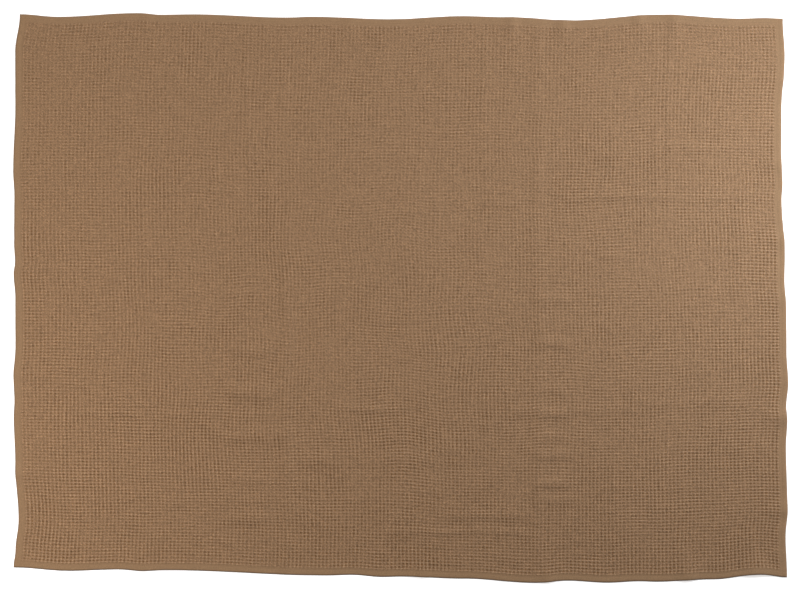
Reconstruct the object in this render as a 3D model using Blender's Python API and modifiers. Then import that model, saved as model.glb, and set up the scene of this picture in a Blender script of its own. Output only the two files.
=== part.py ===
"""A waffle weave cotton blanket spread out flat, face up, on a level surface.

One sheet of cloth with its own plain hems: an open grid is given the wavering outline of the
hems, raised along the packing folds, the small wrinkles and the puckers of the hems, and then
thickened upwards. Metres, +Z up. X runs along the long side and Y along the short one, and the
origin is on the surface under the middle of the blanket.
"""

import math
from collections import namedtuple

import bmesh
import bpy

# Driving sizes of the cloth
LENGTH = 1.80
WIDTH = 1.306
CLOTH_THICK = 0.0032
HEM_THICK = 0.0024
HEM_WIDTH = 0.019
HEM_STEP = 0.006
EDGE_ROUNDING = 0.0007

# How the grid of the sheet is laid out
WIDEST_GAP = 0.048
CLOSEST_LINES = 0.0075
FOOT_SHARE = 0.8

# A fold or wrinkle fades out over this length at each of its ends
FOLD_FADE = 0.045
# Cloth lifted by less than this has sunk back onto the surface
LEAST_LIFT = 0.0003
# How fast the wavering of an edge dies away across the cloth
EDGE_HOLD = 5

# Linear colour, roughness and metallic value of the tan cotton
COTTON_TAN = (0.287, 0.171, 0.093, 1.0)
COTTON_ROUGHNESS = 0.92
COTTON_METALLIC = 0.0

# The hems' outline. along runs the way of the side, from the middle of the blanket, and out is
# how far the edge swells past the straight side there. Rows are the turning points of the edge.
Waver = namedtuple("Waver", "along out")
TOP_EDGE = (
    Waver(-0.900, 0.0060),
    Waver(-0.808, 0.0000),
    Waver(-0.621, 0.0086),
    Waver(-0.565, 0.0047),
    Waver(-0.490, 0.0056),
    Waver(-0.266, -0.0019),
    Waver(-0.210, 0.0000),
    Waver(-0.023, -0.0058),
    Waver(0.145, 0.0016),
    Waver(0.260, -0.0012),
    Waver(0.400, -0.0084),
    Waver(0.613, 0.0051),
    Waver(0.800, -0.0042),
    Waver(0.856, -0.0028),
    Waver(0.900, -0.0044),
)
BOTTOM_EDGE = (
    Waver(-0.900, -0.0182),
    Waver(-0.771, -0.0103),
    Waver(-0.659, -0.0136),
    Waver(-0.603, -0.0100),
    Waver(-0.547, -0.0117),
    Waver(-0.172, 0.0005),
    Waver(-0.116, -0.0009),
    Waver(-0.042, 0.0040),
    Waver(-0.004, 0.0030),
    Waver(0.145, 0.0079),
    Waver(0.314, 0.0178),
    Waver(0.388, 0.0126),
    Waver(0.482, 0.0173),
    Waver(0.557, 0.0138),
    Waver(0.594, 0.0150),
    Waver(0.725, 0.0098),
    Waver(0.837, -0.0019),
    Waver(0.900, 0.0050),
)
LEFT_EDGE = (
    Waver(-0.650, 0.0028),
    Waver(-0.612, -0.0012),
    Waver(-0.538, -0.0086),
    Waver(-0.407, -0.0007),
    Waver(-0.294, 0.0028),
    Waver(-0.257, 0.0012),
    Waver(-0.201, 0.0033),
    Waver(-0.126, -0.0012),
    Waver(-0.014, -0.0009),
    Waver(0.042, 0.0030),
    Waver(0.070, -0.0002),
    Waver(0.117, 0.0019),
    Waver(0.229, 0.0014),
    Waver(0.285, 0.0042),
    Waver(0.435, -0.0009),
    Waver(0.566, -0.0005),
    Waver(0.650, -0.0112),
)
RIGHT_EDGE = (
    Waver(-0.650, 0.0054),
    Waver(-0.556, 0.0023),
    Waver(-0.500, 0.0065),
    Waver(-0.350, 0.0030),
    Waver(-0.294, 0.0056),
    Waver(-0.257, 0.0035),
    Waver(-0.201, 0.0082),
    Waver(-0.126, 0.0044),
    Waver(-0.033, 0.0037),
    Waver(0.042, -0.0005),
    Waver(0.098, 0.0005),
    Waver(0.229, -0.0072),
    Waver(0.266, -0.0049),
    Waver(0.323, -0.0082),
    Waver(0.435, -0.0077),
    Waver(0.566, 0.0000),
    Waver(0.650, -0.0046),
)

# Packing folds that run across the blanket, along Y, and lengthwise, along X. at is the crest's
# place on the other axis, start and end are its ends, and reach is half the ridge's width.
Fold = namedtuple("Fold", "at start end height reach")
FOLDS_ALONG_Y = (
    Fold(-0.300, -0.100, 0.560, 0.0012, 0.018),
    Fold(-0.273, 0.430, 0.620, 0.0012, 0.022),
    Fold(-0.266, -0.650, 0.090, 0.0017, 0.028),
    Fold(0.006, -0.400, -0.220, 0.0010, 0.012),
    Fold(0.199, 0.250, 0.620, 0.0009, 0.014),
    Fold(0.324, -0.650, 0.640, 0.0018, 0.028),
    Fold(0.599, 0.180, 0.610, 0.0009, 0.012),
    Fold(0.629, 0.180, 0.610, 0.0011, 0.012),
)
FOLDS_ALONG_X = (
    Fold(0.343, 0.585, 0.770, 0.0011, 0.020),
    Fold(0.328, 0.440, 0.585, 0.0014, 0.028),
    Fold(0.324, -0.070, 0.070, 0.0011, 0.016),
    Fold(0.245, -0.610, -0.385, 0.0015, 0.017),
    Fold(0.231, 0.370, 0.820, 0.0019, 0.016),
    Fold(0.214, 0.200, 0.280, 0.0014, 0.018),
    Fold(0.063, -0.930, -0.800, 0.0015, 0.013),
    Fold(-0.248, 0.560, 0.820, 0.0010, 0.018),
    Fold(-0.263, -0.140, 0.010, 0.0018, 0.016),
    Fold(-0.265, 0.385, 0.560, 0.0014, 0.020),
    Fold(-0.276, -0.750, -0.470, 0.0012, 0.018),
    Fold(-0.381, -0.230, -0.160, 0.0020, 0.028),
    Fold(-0.381, -0.045, 0.070, 0.0020, 0.028),
    Fold(-0.512, 0.090, 0.305, 0.0018, 0.018),
    Fold(-0.549, -0.035, 0.305, 0.0014, 0.013),
)

# Short wrinkles where the cloth is pushed up: beside the right of the two main folds, and in a
# column of blisters left of the other one.
WRINKLES = (
    Fold(-0.006, 0.320, 0.395, 0.0036, 0.023),
    Fold(-0.111, 0.320, 0.390, 0.0036, 0.023),
    Fold(-0.220, 0.325, 0.390, 0.0022, 0.024),
    Fold(-0.273, 0.235, 0.395, 0.0036, 0.021),
    Fold(-0.328, 0.325, 0.390, 0.0022, 0.018),
    Fold(-0.370, 0.320, 0.395, 0.0030, 0.020),
    Fold(-0.440, 0.320, 0.395, 0.0040, 0.020),
    Fold(-0.481, 0.325, 0.390, 0.0024, 0.018),
    Fold(-0.128, -0.395, -0.300, 0.0028, 0.022),
    Fold(-0.223, -0.395, -0.290, 0.0044, 0.034),
    Fold(-0.328, -0.405, -0.265, 0.0032, 0.028),
    Fold(-0.430, -0.390, -0.300, 0.0024, 0.020),
    Fold(-0.520, -0.400, -0.300, 0.0034, 0.024),
)

# Puckers that run in from a hem: at is the crest's place along the side, reach is half its width
# there, and depth is how far in it fades.
Pucker = namedtuple("Pucker", "at height reach depth")
TOP_PUCKERS = (
    Pucker(-0.593, 0.0022, 0.024, 0.075),
    Pucker(-0.116, 0.0020, 0.022, 0.065),
    Pucker(-0.006, 0.0017, 0.022, 0.055),
    Pucker(0.260, 0.0040, 0.026, 0.080),
    Pucker(0.383, 0.0046, 0.028, 0.085),
    Pucker(0.560, 0.0030, 0.022, 0.070),
    Pucker(0.641, 0.0034, 0.024, 0.090),
)
BOTTOM_PUCKERS = (
    Pucker(-0.602, 0.0026, 0.024, 0.065),
    Pucker(0.052, 0.0036, 0.026, 0.060),
    Pucker(0.347, 0.0038, 0.026, 0.070),
    Pucker(0.674, 0.0052, 0.030, 0.085),
    Pucker(0.834, 0.0072, 0.052, 0.070),
)
LEFT_PUCKERS = (
    Pucker(-0.416, 0.0034, 0.026, 0.095),
    Pucker(-0.180, 0.0016, 0.030, 0.060),
    Pucker(0.112, 0.0014, 0.024, 0.050),
)
RIGHT_PUCKERS = (
    Pucker(-0.500, 0.0036, 0.028, 0.075),
    Pucker(-0.283, 0.0052, 0.030, 0.080),
    Pucker(-0.009, 0.0022, 0.026, 0.060),
    Pucker(0.131, 0.0034, 0.028, 0.070),
    Pucker(0.306, 0.0054, 0.030, 0.085),
    Pucker(0.507, 0.0030, 0.026, 0.070),
)


def bell(distance, reach):
    """1 on the crest, easing down to 0 at the reach, and 0 past it."""
    if abs(distance) >= reach:
        return 0.0
    return 0.5 + 0.5 * math.cos(math.pi * distance / reach)


def ease(share):
    """0 to 1 with a level start and end, held outside that range."""
    share = min(1.0, max(0.0, share))
    return 0.5 - 0.5 * math.cos(math.pi * share)


def edge_offset(rows, along):
    """How far the edge with these turning points lies past its straight side."""
    if along <= rows[0].along:
        return rows[0].out
    for here, there in zip(rows, rows[1:]):
        if along <= there.along:
            share = (along - here.along) / (there.along - here.along)
            return here.out + (there.out - here.out) * ease(share)
    return rows[-1].out


def spread(x, y):
    """Where the point of the straight, square cloth lies once its hems waver."""
    to_right = (0.5 + x / LENGTH) ** EDGE_HOLD
    to_left = (0.5 - x / LENGTH) ** EDGE_HOLD
    to_top = (0.5 + y / WIDTH) ** EDGE_HOLD
    to_bottom = (0.5 - y / WIDTH) ** EDGE_HOLD
    return (
        x + to_right * edge_offset(RIGHT_EDGE, y) - to_left * edge_offset(LEFT_EDGE, y),
        y + to_top * edge_offset(TOP_EDGE, x) - to_bottom * edge_offset(BOTTOM_EDGE, x),
    )


def fold_height(fold, across, along):
    """Height of a fold at a point: across is measured off its crest's axis, along is on it."""
    from_end = min(along - fold.start, fold.end - along)
    return fold.height * bell(across - fold.at, fold.reach) * ease(from_end / FOLD_FADE + 0.5)


def pucker_height(pucker, along, inwards):
    """Height of a hem's pucker at a point that lies this far in from the edge."""
    return pucker.height * bell(along - pucker.at, pucker.reach) * bell(inwards, pucker.depth)


def lift(x, y):
    """Height of the underside over the surface that the blanket lies on."""
    across = sum(fold_height(fold, x, y) for fold in FOLDS_ALONG_Y)
    lengthwise = sum(fold_height(fold, y, x) for fold in FOLDS_ALONG_X + WRINKLES)
    hems = (
        sum(pucker_height(pucker, x, WIDTH / 2 - y) for pucker in TOP_PUCKERS)
        + sum(pucker_height(pucker, x, WIDTH / 2 + y) for pucker in BOTTOM_PUCKERS)
        + sum(pucker_height(pucker, y, LENGTH / 2 + x) for pucker in LEFT_PUCKERS)
        + sum(pucker_height(pucker, y, LENGTH / 2 - x) for pucker in RIGHT_PUCKERS)
    )
    height = across + lengthwise + hems
    return height if height > LEAST_LIFT else 0.0


def thickness_share(x, y):
    """Thickness at a point as a share of the waffle's: the plain hems are thinner."""
    inwards = min(LENGTH / 2 - abs(x), WIDTH / 2 - abs(y))
    hem_share = HEM_THICK / CLOTH_THICK
    return hem_share + (1.0 - hem_share) * ease((inwards - HEM_WIDTH) / HEM_STEP)


def grid_lines(side, folds, puckers):
    """Places of the grid's lines across one axis: on crests, at their feet where there is room."""
    half = side / 2
    hem_line = half - HEM_WIDTH
    farthest = hem_line - HEM_STEP - CLOSEST_LINES
    crests = [row.at for row in folds + puckers]
    feet = [row.at + way * FOOT_SHARE * row.reach for row in folds + puckers for way in (-1, 1)]
    inside = []
    for place in crests + feet:
        if abs(place) <= farthest and all(abs(place - line) >= CLOSEST_LINES for line in inside):
            inside.append(place)
    lines = [-half, -hem_line, HEM_STEP - hem_line]
    for place in sorted(inside) + [hem_line - HEM_STEP]:
        start = lines[-1]
        steps = math.ceil((place - start) / WIDEST_GAP)
        lines += [start + (place - start) * step / steps for step in range(1, steps + 1)]
    return lines + [hem_line, half]


def cotton_material():
    material = bpy.data.materials.new("waffle_cotton")
    material.use_nodes = True
    shader = material.node_tree.nodes["Principled BSDF"]
    shader.inputs["Base Color"].default_value = COTTON_TAN
    shader.inputs["Roughness"].default_value = COTTON_ROUGHNESS
    shader.inputs["Metallic"].default_value = COTTON_METALLIC
    material.diffuse_color = COTTON_TAN
    return material


def centre_over_origin(sheet):
    """Slides the sheet so that the origin is under the middle of the box that it fills."""
    for axis in range(2):
        places = [vertex.co[axis] for vertex in sheet.verts]
        middle = (min(places) + max(places)) / 2
        for vertex in sheet.verts:
            vertex.co[axis] -= middle


def blanket_surface(columns, rows):
    """The underside as an open grid, with a vertex group that holds each point's thickness share."""
    sheet = bmesh.new()
    bmesh.ops.create_grid(sheet, x_segments=len(columns) - 1, y_segments=len(rows) - 1, size=0.5)
    shares = sheet.verts.layers.deform.new()
    for vertex in sheet.verts:
        x = columns[round((vertex.co.x + 0.5) * (len(columns) - 1))]
        y = rows[round((vertex.co.y + 0.5) * (len(rows) - 1))]
        vertex[shares][0] = thickness_share(x, y)
        vertex.co = (*spread(x, y), lift(x, y))
    centre_over_origin(sheet)
    mesh = bpy.data.meshes.new("blanket")
    sheet.to_mesh(mesh)
    sheet.free()
    return mesh


def make_blanket(collection):
    columns = grid_lines(LENGTH, FOLDS_ALONG_Y, TOP_PUCKERS + BOTTOM_PUCKERS)
    rows = grid_lines(WIDTH, FOLDS_ALONG_X + WRINKLES, LEFT_PUCKERS + RIGHT_PUCKERS)
    blanket = bpy.data.objects.new("blanket", blanket_surface(columns, rows))
    collection.objects.link(blanket)
    blanket.data.materials.append(cotton_material())
    blanket.vertex_groups.new(name="thickness")

    cloth = blanket.modifiers.new("cloth", "SOLIDIFY")
    cloth.thickness = CLOTH_THICK
    cloth.offset = 1.0
    cloth.vertex_group = "thickness"

    edge = blanket.modifiers.new("hem_edge", "BEVEL")
    edge.width = EDGE_ROUNDING
    edge.segments = 1
    edge.limit_method = "ANGLE"
    edge.angle_limit = math.radians(50)

    blanket.data.shade_smooth()
    return blanket


def main():
    for leftover in list(bpy.data.objects):
        bpy.data.objects.remove(leftover, do_unlink=True)
    collection = bpy.data.collections.new("waffle_blanket")
    bpy.context.scene.collection.children.link(collection)
    make_blanket(collection)


main()
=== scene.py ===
"""The looks of a waffle weave cotton blanket that lies spread out, seen from straight above.

The cloth is made flat in its cut size, as it comes off the loom: a lattice of ribs with a pit
poked into each cell, and plain hems round it. Its points are then laid out with the wavering
hems, packing folds, wrinkles and puckers of the blanket. Metres, +Z up, in the frame's axes.
"""

import math
from collections import namedtuple

import bmesh
import bpy
import numpy as np
from mathutils import Matrix, Vector, noise


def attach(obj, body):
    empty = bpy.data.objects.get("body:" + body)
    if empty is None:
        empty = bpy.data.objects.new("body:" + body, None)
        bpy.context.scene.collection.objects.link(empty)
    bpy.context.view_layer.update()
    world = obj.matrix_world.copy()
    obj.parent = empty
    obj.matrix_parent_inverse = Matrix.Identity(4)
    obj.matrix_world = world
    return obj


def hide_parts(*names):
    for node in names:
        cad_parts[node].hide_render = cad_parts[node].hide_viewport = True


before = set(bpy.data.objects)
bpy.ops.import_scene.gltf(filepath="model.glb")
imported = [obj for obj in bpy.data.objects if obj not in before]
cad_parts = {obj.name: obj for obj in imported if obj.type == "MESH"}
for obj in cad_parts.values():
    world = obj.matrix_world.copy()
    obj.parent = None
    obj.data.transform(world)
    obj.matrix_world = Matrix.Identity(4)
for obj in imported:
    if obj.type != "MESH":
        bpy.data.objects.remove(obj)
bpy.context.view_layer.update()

# ---------------------------------------------------------------- sizes of the flat cloth

LENGTH = 1.80
WIDTH = 1.306
CLOTH_THICK = 0.0034
HEM_WIDTH = 0.019
CELL_COLUMNS = 198
CELL_ROWS = 169
PIT_DEPTH = 0.0011
SIDE_PIT_SHARE = 0.7

# Lines of the hem's lattice, counted from its outer edge, with the height of its face there. The
# edge is a rounded fold, and the stitching pulls a groove.
HemLine = namedtuple("HemLine", "inwards height")
HEM_LINES = (
    HemLine(0.0000, 0.0003),
    HemLine(0.0010, 0.0013),
    HemLine(0.0032, 0.0024),
    HemLine(0.0052, 0.0027),
    HemLine(0.0100, 0.0027),
    HemLine(0.0122, 0.0024),
    HemLine(0.0150, 0.0027),
)

# Hem stitching, which lies in that groove
STITCH_PITCH = 0.0042
STITCH_LENGTH = 0.0034
STITCH_WIDTH = 0.0009
STITCH_INWARDS = 0.0120
STITCH_HEIGHT = 0.0024

# The hem's outer fold takes up this many lines of the lattice. Painted shade darkens it along the
# bottom and the left: how much there, as a share of the full painted rim shade
RIM_LINES = 2
RIM_BOTTOM = 1.0
RIM_LEFT = 0.4

# Ribs: bundles of long floats that stand over the lattice's lines and hide its crests. Crosswise
# ribs run along X and lengthwise ones along Y. Heights are counted from CLOTH_THICK, and the widths
# vary by about half of RIB_SPREAD either way
CROSSWISE_HALF_WIDTH = 0.0014
LENGTHWISE_HALF_WIDTH = 0.0017
CROSSWISE_CREST = 0.00022
LENGTHWISE_CREST = 0.00045
CROSSWISE_FOOT = -0.0008
LENGTHWISE_FOOT = -0.0011
RIB_SPREAD = 0.4

# How uneven the weave is. Its boldness, 1 on average, sets the pits' depth, the ribs' height and
# the strength of the cells' painted light and shade. It varies in patches of this size and by this
# much, from cell to cell, and in streaks this long along the ribs and this wide across them
PATCH_SIZE = 0.070
PATCHES = 0.30
CELL_NOISE_SIZE = 0.0105
CELL_NOISE = 1.0
STREAK_LENGTH = 0.042
STREAK_WIDTH = 0.010
STREAKS = 0.42
# In some places it leans towards the columns of cells, and in others towards the rows
LEAN_SIZE = 0.085
LEAN = 0.50
# It grows from the top to the bottom, towards both sides, and more so towards the right
SLACK_DOWN = 0.72
SLACK_SIDES = 0.15
SLACK_RIGHT = 0.12
BOLDNESS_RANGE = (0.1, 3.0)
# What the boldness does to the pits' depth, and how far a rib rises and leaves its line
PIT_SPREAD = 0.30
PIT_RANGE = (0.5, 1.2)
RIB_RISE = 0.0001
RIB_WANDER = 0.0011

# ---------------------------------------------------------------- how it lies

# A fold or wrinkle fades out over this length at each of its ends
FOLD_FADE = 0.045
# The wavering of an edge is split into its trend over this half-width, which fades evenly across
# the cloth, and the rest, which dies away at this power of the way across
TREND_REACH = 0.16
TREND_STEPS = 17
RIPPLE_HOLD = 7

Waver = namedtuple("Waver", "along out")
TOP_EDGE = (
    Waver(-0.900, 0.0060),
    Waver(-0.808, 0.0000),
    Waver(-0.621, 0.0086),
    Waver(-0.565, 0.0047),
    Waver(-0.490, 0.0056),
    Waver(-0.266, -0.0019),
    Waver(-0.210, 0.0000),
    Waver(-0.023, -0.0058),
    Waver(0.145, 0.0016),
    Waver(0.260, -0.0012),
    Waver(0.400, -0.0084),
    Waver(0.613, 0.0051),
    Waver(0.800, -0.0042),
    Waver(0.856, -0.0028),
    Waver(0.900, -0.0044),
)
BOTTOM_EDGE = (
    Waver(-0.900, -0.0182),
    Waver(-0.771, -0.0103),
    Waver(-0.659, -0.0136),
    Waver(-0.603, -0.0100),
    Waver(-0.547, -0.0117),
    Waver(-0.172, 0.0005),
    Waver(-0.116, -0.0009),
    Waver(-0.042, 0.0040),
    Waver(-0.004, 0.0030),
    Waver(0.145, 0.0079),
    Waver(0.314, 0.0178),
    Waver(0.388, 0.0126),
    Waver(0.482, 0.0173),
    Waver(0.557, 0.0138),
    Waver(0.594, 0.0150),
    Waver(0.725, 0.0098),
    Waver(0.837, -0.0019),
    Waver(0.900, 0.0050),
)
LEFT_EDGE = (
    Waver(-0.650, 0.0028),
    Waver(-0.612, -0.0012),
    Waver(-0.538, -0.0086),
    Waver(-0.407, -0.0007),
    Waver(-0.294, 0.0028),
    Waver(-0.257, 0.0012),
    Waver(-0.201, 0.0033),
    Waver(-0.126, -0.0012),
    Waver(-0.014, -0.0009),
    Waver(0.042, 0.0030),
    Waver(0.070, -0.0002),
    Waver(0.117, 0.0019),
    Waver(0.229, 0.0014),
    Waver(0.285, 0.0042),
    Waver(0.435, -0.0009),
    Waver(0.566, -0.0005),
    Waver(0.650, -0.0112),
)
RIGHT_EDGE = (
    Waver(-0.650, 0.0054),
    Waver(-0.556, 0.0023),
    Waver(-0.500, 0.0065),
    Waver(-0.350, 0.0030),
    Waver(-0.294, 0.0056),
    Waver(-0.257, 0.0035),
    Waver(-0.201, 0.0082),
    Waver(-0.126, 0.0044),
    Waver(-0.033, 0.0037),
    Waver(0.042, -0.0005),
    Waver(0.098, 0.0005),
    Waver(0.229, -0.0072),
    Waver(0.266, -0.0049),
    Waver(0.323, -0.0082),
    Waver(0.435, -0.0077),
    Waver(0.566, 0.0000),
    Waver(0.650, -0.0046),
)

# Where handling has pulled the weave out of line inside the hems: the pull's middle, how far it
# reaches, and how far it moves the cloth there
Pull = namedtuple("Pull", "x y reach right up")
PULLS = (
    Pull(-0.86, 0.20, 0.34, 0.000, 0.008),
    Pull(-0.49, -0.36, 0.24, -0.003, -0.011),
    Pull(-0.02, -0.40, 0.22, 0.000, 0.008),
    Pull(0.72, 0.15, 0.34, 0.000, 0.010),
    Pull(-0.15, 0.18, 0.60, -0.005, 0.000),
    Pull(-0.28, -0.25, 0.30, -0.004, 0.000),
    Pull(0.60, -0.18, 0.30, 0.004, 0.000),
    Pull(-0.75, -0.10, 0.30, 0.005, 0.000),
)

# The weave is out of line a little all over: by up to about half of this, in bends this long along
# a rib and this wide across it
WEAVE_WANDER = 0.0100
WANDER_ALONG = 0.120
WANDER_ACROSS = 0.170

# Places where the weave lies looser and bolder than round about, with deeper pits and stronger
# painted light and shade, or tighter and flatter: where more is below 0
Slack = namedtuple("Slack", "x y reach_x reach_y more")
SLACK = (
    Slack(0.87, 0.50, 0.07, 0.09, 0.35),
    Slack(0.87, 0.39, 0.07, 0.09, 0.28),
    Slack(0.87, 0.30, 0.07, 0.07, 0.30),
    Slack(0.88, 0.12, 0.08, 0.09, 0.55),
    Slack(0.88, -0.09, 0.07, 0.12, 0.35),
    Slack(0.88, -0.21, 0.07, 0.08, 0.25),
    Slack(0.88, -0.50, 0.08, 0.14, 0.28),
    Slack(0.76, -0.34, 0.15, 0.12, 0.25),
    Slack(0.66, 0.06, 0.26, 0.18, -0.38),
    Slack(0.62, -0.59, 0.14, 0.09, -0.25),
    Slack(0.47, 0.29, 0.22, 0.15, 0.35),
    Slack(0.27, -0.44, 0.15, 0.09, -0.30),
    Slack(0.05, 0.20, 0.34, 0.24, -0.22),
    Slack(0.02, -0.29, 0.17, 0.10, 0.45),
    Slack(0.00, -0.62, 0.14, 0.10, 0.30),
    Slack(-0.07, -0.44, 0.10, 0.08, -0.35),
    Slack(-0.16, -0.17, 0.12, 0.16, -0.32),
    Slack(-0.20, 0.18, 0.10, 0.16, -0.22),
    Slack(-0.26, -0.09, 0.08, 0.11, -0.20),
    Slack(-0.32, 0.17, 0.08, 0.28, 0.30),
    Slack(-0.44, 0.10, 0.14, 0.09, -0.20),
    Slack(-0.49, -0.35, 0.26, 0.17, 0.40),
    Slack(-0.66, -0.29, 0.10, 0.08, 0.22),
    Slack(-0.75, -0.44, 0.12, 0.10, 0.20),
    Slack(-0.87, -0.35, 0.10, 0.18, -0.30),
)

# Folds: where the crest's line lies, where along it the fold starts and ends, and the half-width
Fold = namedtuple("Fold", "at start end height reach")
FOLDS_ALONG_Y = (
    Fold(-0.300, -0.100, 0.560, 0.0012, 0.018),
    Fold(-0.273, 0.430, 0.620, 0.0012, 0.022),
    Fold(-0.266, -0.650, 0.090, 0.0017, 0.028),
    Fold(0.006, -0.400, -0.220, 0.0010, 0.012),
    Fold(0.199, 0.250, 0.620, 0.0009, 0.014),
    Fold(0.324, -0.650, 0.640, 0.0018, 0.028),
    Fold(0.599, 0.180, 0.610, 0.0009, 0.012),
    Fold(0.629, 0.180, 0.610, 0.0011, 0.012),
)
FOLDS_ALONG_X = (
    Fold(0.343, 0.585, 0.770, 0.0011, 0.020),
    Fold(0.328, 0.440, 0.585, 0.0014, 0.028),
    Fold(0.324, -0.070, 0.070, 0.0011, 0.016),
    Fold(0.245, -0.610, -0.385, 0.0015, 0.017),
    Fold(0.231, 0.370, 0.820, 0.0019, 0.016),
    Fold(0.214, 0.200, 0.280, 0.0014, 0.018),
    Fold(0.063, -0.930, -0.800, 0.0015, 0.013),
    Fold(-0.248, 0.560, 0.820, 0.0010, 0.018),
    Fold(-0.263, -0.140, 0.010, 0.0018, 0.016),
    Fold(-0.265, 0.385, 0.560, 0.0014, 0.020),
    Fold(-0.276, -0.750, -0.470, 0.0012, 0.018),
    Fold(-0.381, -0.230, -0.160, 0.0020, 0.028),
    Fold(-0.381, -0.045, 0.070, 0.0020, 0.028),
    Fold(-0.512, 0.090, 0.305, 0.0015, 0.018),
    Fold(-0.549, -0.035, 0.305, 0.0014, 0.013),
)
WRINKLES = (
    Fold(-0.006, 0.320, 0.395, 0.0036, 0.023),
    Fold(-0.111, 0.320, 0.390, 0.0036, 0.023),
    Fold(-0.220, 0.325, 0.390, 0.0022, 0.024),
    Fold(-0.273, 0.235, 0.395, 0.0030, 0.021),
    Fold(-0.328, 0.325, 0.390, 0.0022, 0.018),
    Fold(-0.370, 0.320, 0.395, 0.0030, 0.020),
    Fold(-0.440, 0.320, 0.395, 0.0032, 0.020),
    Fold(-0.481, 0.325, 0.390, 0.0018, 0.018),
    Fold(-0.128, -0.395, -0.300, 0.0042, 0.022),
    Fold(-0.223, -0.395, -0.290, 0.0064, 0.034),
    Fold(-0.328, -0.405, -0.265, 0.0043, 0.028),
    Fold(-0.430, -0.390, -0.300, 0.0024, 0.020),
    Fold(-0.520, -0.400, -0.300, 0.0026, 0.024),
)

# Creases too slight for the solid
CREASES_ALONG_Y = (
    Fold(-0.624, -0.010, 0.300, 0.0007, 0.012),
    Fold(-0.596, -0.010, 0.300, 0.0007, 0.012),
    Fold(-0.616, -0.290, -0.100, 0.0009, 0.014),
    Fold(-0.587, -0.290, -0.100, 0.0014, 0.014),
    Fold(-0.596, -0.620, -0.400, 0.0008, 0.014),
    Fold(-0.476, -0.250, -0.080, 0.0006, 0.014),
    Fold(-0.356, 0.290, 0.620, 0.0014, 0.010),
    Fold(-0.273, 0.430, 0.620, 0.0008, 0.022),
    Fold(-0.264, -0.650, 0.170, 0.0012, 0.024),
    Fold(0.013, 0.080, 0.500, 0.0005, 0.012),
    Fold(0.022, -0.665, -0.590, 0.0014, 0.013),
    Fold(0.537, 0.270, 0.550, 0.0005, 0.012),
    Fold(0.795, -0.010, 0.270, 0.0018, 0.033),
)
CREASES_ALONG_X = (
    Fold(0.523, 0.320, 0.840, 0.0005, 0.014),
    Fold(0.346, 0.585, 0.770, 0.0012, 0.018),
    Fold(0.340, 0.440, 0.585, 0.0014, 0.030),
    Fold(0.247, -0.610, -0.385, 0.0014, 0.012),
    Fold(0.235, 0.370, 0.600, 0.0007, 0.014),
    Fold(0.214, 0.200, 0.280, 0.0012, 0.014),
    Fold(0.143, -0.700, -0.370, 0.0006, 0.014),
    Fold(0.090, 0.468, 0.530, 0.0018, 0.014),
    Fold(-0.265, -0.140, 0.010, 0.0012, 0.014),
    Fold(-0.273, 0.235, 0.315, -0.0014, 0.021),
    Fold(-0.277, -0.470, -0.140, 0.0006, 0.016),
    Fold(-0.279, -0.750, -0.470, 0.0006, 0.016),
    Fold(-0.425, -0.820, -0.350, 0.0006, 0.018),
    Fold(-0.477, -0.820, -0.300, 0.0011, 0.018),
    Fold(-0.546, -0.035, 0.120, 0.0010, 0.012),
)
# Folds and creases wander off their lines by up to about half of this, and swell and fade
FOLD_WANDER = 0.006
FOLD_SWELL = 0.35
FOLD_UNEVEN = 0.070

# Puckers of the hems: where along the side, how high, the half-width, and how far in they reach
Pucker = namedtuple("Pucker", "at height reach depth")
TOP_PUCKERS = (
    Pucker(-0.593, 0.0022, 0.024, 0.075),
    Pucker(-0.116, 0.0020, 0.022, 0.065),
    Pucker(-0.006, 0.0017, 0.022, 0.055),
    Pucker(0.260, 0.0040, 0.026, 0.080),
    Pucker(0.383, 0.0046, 0.028, 0.085),
    Pucker(0.560, 0.0030, 0.022, 0.070),
    Pucker(0.641, 0.0034, 0.024, 0.090),
)
BOTTOM_PUCKERS = (
    Pucker(-0.602, 0.0026, 0.024, 0.065),
    Pucker(0.052, 0.0036, 0.026, 0.060),
    Pucker(0.347, 0.0038, 0.026, 0.070),
    Pucker(0.674, 0.0052, 0.030, 0.085),
    Pucker(0.834, 0.0072, 0.052, 0.070),
)
LEFT_PUCKERS = (
    Pucker(-0.416, 0.0034, 0.026, 0.095),
    Pucker(-0.180, 0.0016, 0.030, 0.060),
    Pucker(0.112, 0.0014, 0.024, 0.050),
)
RIGHT_PUCKERS = (
    Pucker(-0.500, 0.0036, 0.028, 0.075),
    Pucker(-0.283, 0.0052, 0.030, 0.080),
    Pucker(-0.009, 0.0022, 0.026, 0.060),
    Pucker(0.131, 0.0034, 0.028, 0.070),
    Pucker(0.306, 0.0054, 0.030, 0.085),
    Pucker(0.507, 0.0030, 0.026, 0.070),
)

# Slight unevenness all over: ripples that follow the weave, and broad swells. A ripple's noise is
# raised by RIPPLE_LEVEL, and what is still below 0 lies flat
RIPPLE_LEVEL = 0.4
Ripple = namedtuple("Ripple", "length_x length_y height")
RIPPLES = (
    Ripple(0.160, 0.140, 0.0009),
    Ripple(0.070, 0.030, 0.0004),
    Ripple(0.120, 0.017, 0.0003),
    Ripple(0.030, 0.070, 0.0003),
    Ripple(0.020, 0.020, 0.0002),
)
HEM_RIPPLE = Ripple(0.040, 0.040, 0.0012)
HEM_RIPPLE_DEPTH = 0.045

# ---------------------------------------------------------------- the photo's frame

# Metres a pixel on the cloth, the picture's size, and where in it the cloth's outline ends
PIXEL = 0.002337
PHOTO_WIDE = 800
PHOTO_TALL = 600
OUTLINE_LEFT, OUTLINE_RIGHT = 14.7, 785.0
OUTLINE_TOP, OUTLINE_BOTTOM = 16.5, 575.5
# Millimetres
LENS = 85.0
SENSOR = 36.0


# ================================================================ laying the cloth out


def bell(distance, reach):
    """1 on the crest, easing down to 0 at the reach, and 0 past it."""
    share = np.clip(np.abs(distance) / reach, 0, 1)
    return 0.5 + 0.5 * np.cos(np.pi * share)


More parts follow.
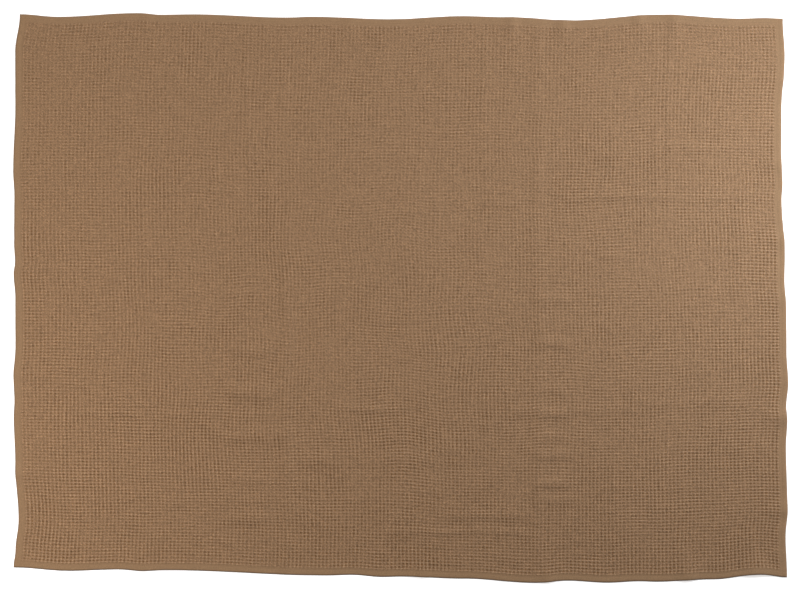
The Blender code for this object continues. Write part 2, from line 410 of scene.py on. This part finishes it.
def ease(share):
    """0 to 1 with a level start and end, held outside that range."""
    return 0.5 - 0.5 * np.cos(np.pi * np.clip(share, 0, 1))


def rough(x, y, length_x, length_y, seed):
    """Smooth noise from about -0.6 to 0.6 whose bumps are this long each way. Each seed gives a
    pattern of its own."""
    places = zip((x / length_x).tolist(), (y / length_y).tolist())
    return np.array([noise.noise(Vector((a, b, seed))) for a, b in places])


def edge_offset(rows, along):
    """How far the edge with these turning points lies past its straight side."""
    places = np.array([row.along for row in rows])
    outs = np.array([row.out for row in rows])
    along = np.clip(along, places[0], places[-1])
    before = np.clip(np.searchsorted(places, along, side="right") - 1, 0, len(rows) - 2)
    share = (along - places[before]) / (places[before + 1] - places[before])
    return outs[before] + (outs[before + 1] - outs[before]) * ease(share)


def edge_pull(rows, along, share):
    """How far the edge moves a point that is this share of the way across from the other side."""
    steps = np.linspace(-TREND_REACH, TREND_REACH, TREND_STEPS)
    trend = sum(edge_offset(rows, along + step) for step in steps) / len(steps)
    return trend * share + (edge_offset(rows, along) - trend) * share**RIPPLE_HOLD


def spread(x, y):
    """Where points of the flat, square cloth lie once its hems waver and its weave is pulled."""
    right, up = 0.5 + x / LENGTH, 0.5 + y / WIDTH
    # 0 on the hems' outer edges and 1 in the middle of the cloth
    inside = np.clip(16 * right * (1 - right) * up * (1 - up), 0, 1)
    to_right = edge_pull(RIGHT_EDGE, y, right) - edge_pull(LEFT_EDGE, y, 1 - right)
    to_top = edge_pull(TOP_EDGE, x, up) - edge_pull(BOTTOM_EDGE, x, 1 - up)
    for pull in PULLS:
        strength = inside * bell(np.hypot(x - pull.x, y - pull.y), pull.reach)
        to_right = to_right + pull.right * strength
        to_top = to_top + pull.up * strength
    wander = WEAVE_WANDER * inside
    to_right = to_right + wander * rough(x, y, WANDER_ACROSS, WANDER_ALONG, seed=41.5)
    to_top = to_top + wander * rough(x, y, WANDER_ALONG, WANDER_ACROSS, seed=42.5)
    return x + to_right, y + to_top


def fold_height(fold, across, along):
    """Height of a fold: across is measured off its crest's axis, and along is on it."""
    from_end = np.minimum(along - fold.start, fold.end - along)
    return fold.height * bell(across - fold.at, fold.reach) * ease(from_end / FOLD_FADE + 0.5)


def pucker_height(pucker, along, inwards):
    """Height of a hem's pucker at points that lie this far in from the edge."""
    return pucker.height * bell(along - pucker.at, pucker.reach) * bell(inwards, pucker.depth)


def lift(flat_x, flat_y, x, y):
    """Height of the underside: folds where the cloth lies, puckers counted in from its edges."""
    to_right = FOLD_WANDER * rough(x, y, FOLD_UNEVEN, FOLD_UNEVEN, seed=30.5)
    to_top = FOLD_WANDER * rough(x, y, FOLD_UNEVEN, FOLD_UNEVEN, seed=31.5)
    swell = 1 + FOLD_SWELL * rough(x, y, FOLD_UNEVEN, FOLD_UNEVEN, seed=32.5)
    height = sum(fold_height(fold, x + to_right, y) for fold in FOLDS_ALONG_Y + CREASES_ALONG_Y)
    along_x = FOLDS_ALONG_X + WRINKLES + CREASES_ALONG_X
    height = swell * (height + sum(fold_height(fold, y + to_top, x) for fold in along_x))
    for puckers, along, inwards in (
        (TOP_PUCKERS, x, WIDTH / 2 - flat_y),
        (BOTTOM_PUCKERS, x, WIDTH / 2 + flat_y),
        (LEFT_PUCKERS, y, LENGTH / 2 + flat_x),
        (RIGHT_PUCKERS, y, LENGTH / 2 - flat_x),
    ):
        height = height + sum(pucker_height(pucker, along, inwards) for pucker in puckers)
    return height


def ripple_height(flat_x, flat_y):
    """Gentle unevenness of loose cloth, more of it beside the hems, never below the surface."""
    height = np.zeros(len(flat_x))
    for number, ripple in enumerate(RIPPLES):
        wave = rough(flat_x, flat_y, ripple.length_x, ripple.length_y, seed=10.5 + number)
        height += ripple.height * np.clip(RIPPLE_LEVEL + wave, 0, 1)
    inwards = np.minimum(LENGTH / 2 - np.abs(flat_x), WIDTH / 2 - np.abs(flat_y))
    wave = rough(flat_x, flat_y, HEM_RIPPLE.length_x, HEM_RIPPLE.length_y, seed=20.5)
    return height + HEM_RIPPLE.height * np.clip(wave, 0, 1) * bell(inwards, HEM_RIPPLE_DEPTH)


def lay_out(mesh):
    """Moves a mesh from the flat cut cloth to where the cloth lies."""
    flat = np.empty(len(mesh.vertices) * 3)
    mesh.vertices.foreach_get("co", flat)
    flat = flat.reshape(-1, 3)
    x, y = spread(flat[:, 0], flat[:, 1])
    z = flat[:, 2] + lift(flat[:, 0], flat[:, 1], x, y) + ripple_height(flat[:, 0], flat[:, 1])
    mesh.vertices.foreach_set("co", np.stack([x - MIDDLE_X, y - MIDDLE_Y, z], axis=1).ravel())
    mesh.update()


POINTS_A_SIDE = 1801


def middle_of_outline():
    """The middle of the box round the laid cloth, which lies over the frame's origin."""
    run = np.linspace(-0.5, 0.5, POINTS_A_SIDE)
    far = np.full(POINTS_A_SIDE, 0.5)
    flat_x = LENGTH * np.concatenate([run, run, far, -far])
    flat_y = WIDTH * np.concatenate([far, -far, run, run])
    x, y = spread(flat_x, flat_y)
    return (x.min() + x.max()) / 2, (y.min() + y.max()) / 2


MIDDLE_X, MIDDLE_Y = middle_of_outline()


# ================================================================ shader maths


class Value:
    """One output of a material's node. Arithmetic on values adds Math nodes."""

    def __init__(self, finish, socket):
        self.finish, self.socket = finish, socket

    def math(self, operation, *others):
        terms = {place: term for place, term in enumerate(others)}
        return self.finish.node("Math", {"operation": operation}, terms)

    def __add__(self, other):
        return self.math("ADD", self, other)

    def __mul__(self, other):
        return self.math("MULTIPLY", self, other)

    def __sub__(self, other):
        return self.math("SUBTRACT", self, other)

    def __rsub__(self, other):
        return self.math("SUBTRACT", other, self)

    def __gt__(self, other):
        return self.math("GREATER_THAN", self, other)

    __radd__, __rmul__ = __add__, __mul__

    def sine(self):
        return self.math("SINE", self)

    def cosine(self):
        return self.math("COSINE", self)

    def fraction(self):
        return self.math("FRACT", self)

    def floor(self):
        return self.math("FLOOR", self)

    def size(self):
        return self.math("ABSOLUTE", self)

    def clamped(self):
        return self.math("MAXIMUM", self.math("MINIMUM", self, 1.0), 0.0)


class Finish:
    """A material under construction. node() adds any node: its type, settings, then its sockets."""

    def __init__(self, name):
        self.material = bpy.data.materials.new(name)
        self.material.use_nodes = True
        self.tree = self.material.node_tree
        self.shader = self.tree.nodes["Principled BSDF"]

    def node(self, kind, settings=None, sockets=None, output=0):
        made = self.tree.nodes.new("ShaderNode" + kind)
        for name, value in (settings or {}).items():
            setattr(made, name, value)
        for name, value in (sockets or {}).items():
            self.wire(made.inputs[name], value)
        return Value(self, made.outputs[output])

    def wire(self, socket, value):
        if isinstance(value, Value):
            self.tree.links.new(value.socket, socket)
        else:
            socket.default_value = value

    def mix(self, share, one, other, blend="MIX"):
        settings = {"data_type": "RGBA", "blend_type": blend}
        return self.node("Mix", settings, {0: share, 6: one, 7: other}, output=2)

    def surface(self, **sockets):
        for name, value in sockets.items():
            self.wire(self.shader.inputs[name.replace("_", " ")], value)


# ================================================================ finishes

# Linear colours. The ribs' tan is lightened as painted light, and the pits' tan darkened as painted
# shade
RIB_PAINTED_LIGHT_TAN = (0.374, 0.233, 0.135, 1.0)
PIT_PAINTED_SHADE_TAN = (0.148, 0.069, 0.0235, 1.0)
HEM_TAN = (0.2865, 0.1715, 0.091, 1.0)
THREAD_TAN = (0.285, 0.170, 0.095, 1.0)

COTTON_ROUGHNESS = 0.88
SLUB_GLOSS = 0.08
SHEEN = 0.12
# Relief of the yarns, and the fuzz that stands on them
YARNS_A_CELL = 11
YARN_BUMP = 0.00012
YARN_SHARE = 0.5
FUZZ_SHARE = 0.8
FUZZ_SCALE = 900.0
# Painted light and shade of the cells, from the pits' painted-shade colour at 0 to the ribs'
# painted-light colour at 1: the middle, how far the columns and the rows each go to either side
# of it at a boldness of 1, and the share of that by which painted shade darkens the pits' middles
# and the ribs' crossings
CELL_MIDDLE = 0.55
CELL_PAINTED_CONTRAST = 0.166
PIT_DOT_PAINTED_SHADE = 0.10
# Unevenness of the shade: slubs, grain, how much of the grain the hems lack, and one length of rib
# or one pit against the next
SLUB = 0.4
SLUBS_A_CELL = 0.45
GRAIN = 1.4
GRAINS_A_CELL = (5.0, 2.2)
HEM_EVENNESS = 0.5
PLACE_TO_PLACE = 0.10
# Painted shade on the hem's outer fold, at its darkest along the bottom
RIM_PAINTED_SHADE = 0.55
TWIST_SCALE = 420.0
FLOOR_GLOW = 0.5


def grain(finish, weave, lengthwise):
    """Fine unevenness of the yarns, drawn out along them."""
    wide, long = GRAINS_A_CELL
    stretch = (wide, long, 1.0) if lengthwise else (long, wide, 1.0)
    drawn = finish.node("VectorMath", {"operation": "MULTIPLY"}, {0: weave, 1: stretch})
    return finish.node("TexNoise", sockets={"Vector": drawn, "Scale": 1.0, "Detail": 0.0})


def cotton_surface(finish, weave, colour, yarns, grains, base_shade):
    """What all the cotton shares: slubby shade, a matt nap and the rounding of its yarns."""
    place = finish.node("TexCoord", output="Object")
    slubs = {"Vector": weave, "Scale": SLUBS_A_CELL, "Detail": 4.0, "Roughness": 1.0}
    slub = finish.node("TexNoise", sockets=slubs)
    fuzz = finish.node("TexNoise", sockets={"Vector": place, "Scale": FUZZ_SCALE, "Detail": 1.0})
    shade = base_shade * (1 + SLUB * (slub - 0.5) + GRAIN * (grains - 0.5))
    grey = finish.node("CombineXYZ", sockets={0: shade, 1: shade, 2: shade})
    toned = finish.mix(1.0, colour, grey, "MULTIPLY")
    height = yarns * YARN_SHARE + fuzz * FUZZ_SHARE
    bump = finish.node("Bump", sockets={"Strength": 0.35, "Distance": YARN_BUMP, "Height": height})
    finish.surface(
        Base_Color=toned,
        Roughness=COTTON_ROUGHNESS - SLUB_GLOSS * slub,
        Normal=bump,
        Sheen_Weight=SHEEN,
        Sheen_Roughness=0.5,
        Specular_IOR_Level=0.15,
    )
    return finish.material


def cell_painted_light_and_shade(finish, column, row):
    """Painted light on the ribs and painted shade in the pits: the shade across the columns and the
    shade across the rows add up, each as bold as the weave is there. Painted shade darkens the
    pits' middles still more, and the ribs' crossings a little."""
    turn = 2 * math.pi
    columns = finish.node("Attribute", {"attribute_name": "columns"}, output="Fac")
    rows = finish.node("Attribute", {"attribute_name": "rows"}, output="Fac")
    column_wave = columns * (column * turn).cosine()
    row_wave = rows * (row * turn).cosine()
    level = column_wave + row_wave - PIT_DOT_PAINTED_SHADE * column_wave * row_wave
    return finish.mix((CELL_MIDDLE + CELL_PAINTED_CONTRAST * level).clamped(), PIT_PAINTED_SHADE_TAN, RIB_PAINTED_LIGHT_TAN)


def own_shade(finish, column, row):
    """A shade of its own for each place in the weave, about 1."""
    spot = finish.node("CombineXYZ", sockets={0: column.floor(), 1: row.floor()})
    chance = finish.node("TexWhiteNoise", {"noise_dimensions": "2D"}, {"Vector": spot})
    return 1 + PLACE_TO_PLACE * (chance - 0.5)


def waffle_finish():
    """The sheet itself: walls of the cells, darkened down into the pits by painted shade, and plain
    hems.
    """
    finish = Finish("waffle_cotton_cloth")
    weave = finish.node("UVMap", {"uv_map": "weave"})
    hem = finish.node("Attribute", {"attribute_name": "hem"}, output="Fac")
    column = finish.node("SeparateXYZ", sockets={0: weave}, output=0)
    row = finish.node("SeparateXYZ", sockets={0: weave}, output=1)
    turn = 2 * math.pi * YARNS_A_CELL
    warp = (column * turn).sine()
    weft = (row * turn).sine()
    beside_upright = (column.fraction() - 0.5).size() > (row.fraction() - 0.5).size()
    beside_level = 1 - beside_upright
    floats = beside_upright * warp + beside_level * weft
    yarns = hem * warp * weft + (1 - hem) * floats
    grains = beside_upright * grain(finish, weave, True)
    grains = grains + beside_level * grain(finish, weave, False)
    grains = 0.5 + (grains - 0.5) * (1 - HEM_EVENNESS * hem)
    # Painted light on the ribs and painted shade in the pits, the hems plain
    colour = finish.mix(hem, cell_painted_light_and_shade(finish, column, row), HEM_TAN)
    # Painted shade on the hem's outer fold along the bottom and the left
    rim = finish.node("Attribute", {"attribute_name": "rim"}, output="Fac")
    pits = hem + (1 - hem) * own_shade(finish, column, row)
    return cotton_surface(finish, weave, colour, yarns, grains, pits * (1 - RIM_PAINTED_SHADE * rim))


def rib_finish(name, lengthwise):
    """Long floats that lie side by side along a rib, which has a shade of its own in each cell."""
    finish = Finish(name)
    weave = finish.node("UVMap", {"uv_map": "weave"})
    column = finish.node("SeparateXYZ", sockets={0: weave}, output=0)
    row = finish.node("SeparateXYZ", sockets={0: weave}, output=1)
    turn = 2 * math.pi * YARNS_A_CELL
    yarns = ((column if lengthwise else row) * turn).sine()
    grains = grain(finish, weave, lengthwise)
    if lengthwise:
        lengths = own_shade(finish, column + 0.5, row)
    else:
        lengths = own_shade(finish, column, row + 0.5)
    # The ribs take the cells' painted light and shade too, lightest along their crests
    return cotton_surface(finish, weave, cell_painted_light_and_shade(finish, column, row), yarns, grains, lengths)


def thread_finish():
    """Sewing thread: twisted cotton, a shade off the cloth."""
    finish = Finish("hem_thread")
    place = finish.node("TexCoord", output="Object")
    twist = finish.node("TexNoise", sockets={"Vector": place, "Scale": TWIST_SCALE, "Detail": 2.0})
    bump = finish.node("Bump", sockets={"Strength": 0.4, "Distance": YARN_BUMP, "Height": twist})
    # The twist shades the thread towards the ribs' lighter tan, which on the ribs carries painted
    # light
    finish.surface(
        Base_Color=finish.mix(twist, THREAD_TAN, RIB_PAINTED_LIGHT_TAN),
        Roughness=0.7 + 0.15 * twist,
        Normal=bump,
        Specular_IOR_Level=0.25,
    )
    return finish.material


def floor_finish():
    """Plain white, lit from below a little as a lit table is."""
    finish = Finish("pale_floor")
    place = finish.node("TexCoord", output="Object")
    mottle = finish.node("TexNoise", sockets={"Vector": place, "Scale": 60.0, "Detail": 2.0})
    finish.surface(
        Base_Color=(0.93, 0.93, 0.93, 1.0),
        Roughness=0.85 + 0.1 * mottle,
        Specular_IOR_Level=0.1,
        Emission_Color=(1.0, 1.0, 1.0, 1.0),
        Emission_Strength=FLOOR_GLOW,
    )
    return finish.material


# ================================================================ pieces


def lattice_lines(side, cells):
    """Places and face heights of the lattice's lines across one axis, hem, ribs, hem."""
    half = side / 2
    field = half - HEM_WIDTH
    hem = [(half - line.inwards, line.height) for line in HEM_LINES]
    ribs = [(-field + 2 * field * step / cells, CLOTH_THICK) for step in range(cells + 1)]
    return [(-place, height) for place, height in hem] + ribs + hem[::-1]


def field_inwards(x, y):
    """How far in from the hems' inner edges these points of the flat cloth lie."""
    return np.minimum(LENGTH / 2 - np.abs(x), WIDTH / 2 - np.abs(y)) - HEM_WIDTH


def crosswise_streaks(x, y):
    """Noise drawn out along the ribs that run crosswise."""
    return rough(x, y, STREAK_LENGTH, STREAK_WIDTH, seed=1.5)


def lengthwise_streaks(x, y):
    """Noise drawn out along the ribs that run lengthwise."""
    return rough(x, y, STREAK_WIDTH, STREAK_LENGTH, seed=2.5)


def weave_boldness(x, y):
    """How boldly the columns and the rows of cells stand out, about 1 each. They differ in patches
    and streaks and from cell to cell. The weave lies looser, bolder, low down, at the sides and in
    the slack places, and there the cells' painted light and shade are stronger too."""
    cells = CELL_NOISE * rough(x, y, CELL_NOISE_SIZE, CELL_NOISE_SIZE, seed=7.5)
    both = 1 + PATCHES * rough(x, y, PATCH_SIZE, PATCH_SIZE, seed=3.5) + cells
    # -1 at the left and 1 at the right, so its square is a third on average
    out = 2 * x / LENGTH
    both = both - SLACK_DOWN * y / WIDTH + SLACK_SIDES * (out**2 - 1 / 3) + SLACK_RIGHT * out
    for place in SLACK:
        away = np.hypot((x - place.x) / place.reach_x, (y - place.y) / place.reach_y)
        both = both + place.more * bell(away, 1)
    lean = LEAN * rough(x, y, LEAN_SIZE, LEAN_SIZE, seed=6.5)
    columns = both * (1 - lean) + STREAKS * lengthwise_streaks(x, y)
    rows = both * (1 + lean) + STREAKS * crosswise_streaks(x, y)
    return np.clip(columns, *BOLDNESS_RANGE), np.clip(rows, *BOLDNESS_RANGE)


def loosen(crossings):
    """Each rib wanders a little off its line, and stands a little higher or lower in streaks."""
    x, y = np.array([vertex.co.xy for vertex in crossings]).T
    freedom = ease(field_inwards(x, y) / STREAK_WIDTH)
    right = RIB_WANDER * rough(x, y, STREAK_WIDTH, STREAK_LENGTH, seed=4.5) * freedom
    up = RIB_WANDER * rough(x, y, STREAK_LENGTH, STREAK_WIDTH, seed=5.5) * freedom
    rise = RIB_RISE * (crosswise_streaks(x, y) + lengthwise_streaks(x, y)) * freedom
    for vertex, *move in zip(crossings, right, up, rise):
        vertex.co += Vector(move)


def sink(bottoms):
    """Pits are deeper in some patches and streaks than in others, and shallow beside the hems."""
    x, y = np.array([vertex.co.xy for vertex in bottoms]).T
    columns, rows = weave_boldness(x, y)
    beside_hem = np.where(field_inwards(x, y) < LENGTH / CELL_COLUMNS, SIDE_PIT_SHARE, 1)
    share = np.clip(1 + PIT_SPREAD * ((columns + rows) / 2 - 1), *PIT_RANGE) * beside_hem
    for vertex, depth in zip(bottoms, PIT_DEPTH * share):
        vertex.co.z -= depth


def boldness_layers(shape):
    """Room on a shape's points for the boldness of the columns and of the rows of cells."""
    return [shape.verts.layers.float.new(layer) for layer in ("columns", "rows")]


def store_boldness(points, layers):
    """Writes the boldness of the weave on points of the flat cloth."""
    x, y = np.array([vertex.co.xy for vertex in points]).T
    for layer, values in zip(layers, weave_boldness(x, y)):
        for vertex, value in zip(points, values):
            vertex[layer] = value


def add_underside(cloth, spot, last_i, last_j):
    """A level, coarser copy of the lattice, joined to the face round the rim. spot gives the lines
    that cross at each point of the face, and last_i and last_j are the last lines each way."""
    copied = bmesh.ops.duplicate(cloth, geom=cloth.verts[:] + cloth.edges[:] + cloth.faces[:])
    copied_faces = [item for item in copied["geom"] if isinstance(item, bmesh.types.BMFace)]
    under = [(copied["vert_map"][vertex], i, j) for vertex, (i, j) in spot.items()]
    for vertex, i, j in under:
        vertex.co.z = 0.0
    bmesh.ops.reverse_faces(cloth, faces=copied_faces)
    bmesh.ops.bridge_loops(cloth, edges=[edge for edge in cloth.edges if edge.is_boundary])
    inner = [(vertex, i, j) for vertex, i, j in under if 0 < i < last_i and 0 < j < last_j]
    cell_middles = [vertex for vertex, i, j in inner if i % 2 and j % 2]
    bmesh.ops.dissolve_verts(cloth, verts=cell_middles)
    bmesh.ops.dissolve_verts(cloth, verts=[vertex for vertex, i, j in inner if (i + j) % 2])


def woven_sheet():
    """The flat cloth: a closed sheet whose face is a lattice of ribs and pits inside plain hems."""
    lines_x = lattice_lines(LENGTH, CELL_COLUMNS)
    lines_y = lattice_lines(WIDTH, CELL_ROWS)
    last_i, last_j = len(lines_x) - 1, len(lines_y) - 1
    edge = len(HEM_LINES)

    cloth = bmesh.new()
    bmesh.ops.create_grid(cloth, x_segments=last_i, y_segments=last_j, size=0.5, calc_uvs=False)
    weave = cloth.loops.layers.uv.new("weave")
    layers = boldness_layers(cloth)
    hem = cloth.verts.layers.float.new("hem")
    rim = cloth.verts.layers.float.new("rim")
    spot = {}
    for vertex in cloth.verts:
        spot[vertex] = (round((vertex.co.x + 0.5) * last_i), round((vertex.co.y + 0.5) * last_j))
    cells = []
    for face in cloth.faces:
        i = min(spot[vertex][0] for vertex in face.verts)
        j = min(spot[vertex][1] for vertex in face.verts)
        for loop in face.loops:
            loop[weave].uv = (spot[loop.vert][0] - edge, spot[loop.vert][1] - edge)
        if edge <= i < edge + CELL_COLUMNS and edge <= j < edge + CELL_ROWS:
            cells.append(face)
    for vertex, (i, j) in spot.items():
        (x, x_height), (y, y_height) = lines_x[i], lines_y[j]
        height = min(x_height, y_height)
        vertex.co = (x, y, height)
        vertex[hem] = 1.0 if height < CLOTH_THICK else 0.0
        # The outer lines of the bottom and left hems take painted shade
        vertex[rim] = RIM_BOTTOM if j < RIM_LINES else RIM_LEFT if i < RIM_LINES else 0.0
    loosen([vertex for vertex in spot if vertex[hem] == 0.0])
    add_underside(cloth, spot, last_i, last_j)
    poked = bmesh.ops.poke(cloth, faces=cells, offset=0.0)
    sink(poked["verts"])
    store_boldness(cloth.verts[:], layers)

    mesh = bpy.data.meshes.new("blanket_cloth")
    cloth.to_mesh(mesh)
    cloth.free()
    return mesh


def rib_bundles(name, lines, steps, half_width, lengthwise):
    """A rounded strip of floats over each inner line of the lattice, one step to a cell. Its two
    ends dip in at the hems."""
    cell = LENGTH / CELL_COLUMNS if lengthwise else WIDTH / CELL_ROWS
    crest = LENGTHWISE_CREST if lengthwise else CROSSWISE_CREST
    foot = LENGTHWISE_FOOT if lengthwise else CROSSWISE_FOOT
    last = len(steps) - 1

    strips = bmesh.new()
    weave = strips.loops.layers.uv.new("weave")
    layers = boldness_layers(strips)
    boldness = layers[0] if lengthwise else layers[1]
    shape = []
    for number, line in list(enumerate(lines))[1:-1]:
        made = bmesh.ops.create_grid(strips, x_segments=last, y_segments=2, size=0.5)
        for vertex in made["verts"]:
            step = round((vertex.co.x + 0.5) * last)
            side = round(2 * vertex.co.y)
            spot = (line, steps[step]) if lengthwise else (steps[step], line)
            vertex.co = (*spot, CLOTH_THICK)
            shape.append((vertex, number, step, -side if lengthwise else side))
    loosen([vertex for vertex, *_ in shape])
    store_boldness([vertex for vertex, *_ in shape], layers)
    x, y = np.array([vertex.co.xy for vertex, *_ in shape]).T
    half_widths = half_width * (1 + RIB_SPREAD * rough(x, y, PATCH_SIZE, STREAK_WIDTH, seed=8.5))
    place = {}
    for (vertex, number, step, side), reach in zip(shape, half_widths):
        shift = side * reach
        on_crest = side == 0 and 0 < step < last
        height = crest * vertex[boldness] if on_crest else foot
        vertex.co += Vector((shift, 0, height) if lengthwise else (0, shift, height))
        across = number + shift / cell
        place[vertex] = (across, step) if lengthwise else (step, across)
    for face in strips.faces:
        face.smooth = True
        for loop in face.loops:
            loop[weave].uv = place[loop.vert]
    mesh = bpy.data.meshes.new(name)
    strips.to_mesh(mesh)
    strips.free()
    return mesh


def stitch_line(stitching, start, end):
    """Short lengths of thread lying end to end along one side of the hem."""
    run = end - start
    count = int(run.length / STITCH_PITCH)
    turn = math.atan2(run.y, run.x)
    shape = Matrix.Diagonal((STITCH_LENGTH / 2, STITCH_WIDTH / 2, STITCH_WIDTH / 2, 1.0))
    for step in range(count):
        place = start + run * ((step + 0.5) / count)
        matrix = Matrix.Translation(place) @ Matrix.Rotation(turn, 4, "Z") @ shape
        bmesh.ops.create_icosphere(stitching, subdivisions=1, radius=1.0, matrix=matrix)


def hem_stitching():
    """The thread along all four sides."""
    stitching = bmesh.new()
    x, y = LENGTH / 2 - STITCH_INWARDS, WIDTH / 2 - STITCH_INWARDS
    signs = ((-1, -1), (1, -1), (1, 1), (-1, 1))
    corners = [Vector((a * x, b * y, STITCH_HEIGHT)) for a, b in signs]
    for here, there in zip(corners, corners[1:] + corners[:1]):
        stitch_line(stitching, here, there)
    mesh = bpy.data.meshes.new("hem_stitching")
    stitching.to_mesh(mesh)
    stitching.free()
    return mesh


def new_piece(name, mesh, finish):
    """An object in the scene that has this mesh and material."""
    piece = bpy.data.objects.new(name, mesh)
    bpy.context.scene.collection.objects.link(piece)
    mesh.materials.append(finish)
    return piece


def rib_places(side, cells):
    """Where the lattice's ribs lie across one axis."""
    return [place for place, height in lattice_lines(side, cells) if height == CLOTH_THICK]


def make_blanket():
    """The cloth, the ribs and the stitching, made flat and then laid out as the blanket lies."""
    columns = rib_places(LENGTH, CELL_COLUMNS)
    rows = rib_places(WIDTH, CELL_ROWS)
    cloth = new_piece("blanket_cloth", woven_sheet(), waffle_finish())
    crosswise = new_piece(
        "crosswise_ribs",
        rib_bundles("crosswise_ribs", rows, columns, CROSSWISE_HALF_WIDTH, False),
        rib_finish("crosswise_floats", False),
    )
    lengthwise = new_piece(
        "lengthwise_ribs",
        rib_bundles("lengthwise_ribs", columns, rows, LENGTHWISE_HALF_WIDTH, True),
        rib_finish("lengthwise_floats", True),
    )
    stitching = new_piece("hem_stitching", hem_stitching(), thread_finish())
    stitching.data.shade_smooth()
    for piece in (cloth, crosswise, lengthwise, stitching):
        lay_out(piece.data)
        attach(piece, "root")
    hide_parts("blanket")


# ================================================================ studio


FLOOR_REACH = 6.0


def make_floor():
    """The ground that the blanket lies on."""
    plane = bmesh.new()
    bmesh.ops.create_grid(plane, x_segments=1, y_segments=1, size=FLOOR_REACH)
    mesh = bpy.data.meshes.new("studio_floor")
    plane.to_mesh(mesh)
    plane.free()
    floor = new_piece("studio_floor", mesh, floor_finish())


SoftBox = namedtuple("SoftBox", "name x y height size watts red blue")
SOFT_BOXES = (
    SoftBox("key_upper_right", 3.60, 1.80, 2.60, 1.2, 120.0, 0.99, 1.01),
    SoftBox("close_right", 1.25, 0.38, 0.85, 0.6, 8.0, 0.90, 1.12),
    SoftBox("top", 0.00, 1.60, 1.60, 0.9, 8.5, 1.02, 0.98),
    SoftBox("upper_left", -1.60, 0.60, 1.50, 0.9, 8.5, 1.03, 0.96),
    SoftBox("lower_left", -1.35, -0.60, 1.20, 0.9, 12.3, 1.03, 0.96),
)
# Each points at the spot that lies this share of its own way out from the middle
AIM_SHARE = 0.25
ROOM_LIGHT = 0.15


def make_lights():
    """Soft boxes round the blanket, the strongest at the upper right, and a dim white room."""
    for box in SOFT_BOXES:
        lamp = bpy.data.lights.new(box.name, "AREA")
        lamp.size = box.size
        lamp.energy = box.watts
        lamp.color = (box.red, 1.0, box.blue)
        holder = bpy.data.objects.new(box.name, lamp)
        holder.location = (box.x, box.y, box.height)
        aim = Vector((AIM_SHARE * box.x, AIM_SHARE * box.y, 0.0)) - holder.location
        holder.rotation_euler = aim.to_track_quat("-Z", "Y").to_euler()
        bpy.context.scene.collection.objects.link(holder)
    world = bpy.data.worlds.new("room")
    world.use_nodes = True
    background = world.node_tree.nodes["Background"]
    background.inputs["Color"].default_value = (1.0, 1.0, 1.0, 1.0)
    background.inputs["Strength"].default_value = ROOM_LIGHT
    bpy.context.scene.world = world


def make_camera():
    """Straight above, framed as the photo is: its pixels give the place of the frame's middle."""
    lens = bpy.data.cameras.new("camera")
    lens.lens = LENS
    lens.sensor_width = SENSOR
    camera = bpy.data.objects.new("camera", lens)
    x = (PHOTO_WIDE / 2 - (OUTLINE_LEFT + OUTLINE_RIGHT) / 2) * PIXEL - MIDDLE_X
    y = ((OUTLINE_TOP + OUTLINE_BOTTOM) / 2 - PHOTO_TALL / 2) * PIXEL - MIDDLE_Y
    camera.location = (x, y, PHOTO_WIDE * PIXEL * LENS / SENSOR + CLOTH_THICK)
    bpy.context.scene.collection.objects.link(camera)
    bpy.context.scene.camera = camera


make_camera()
make_blanket()
make_floor()
make_lights()
bpy.context.scene.view_settings.view_transform = "Standard"
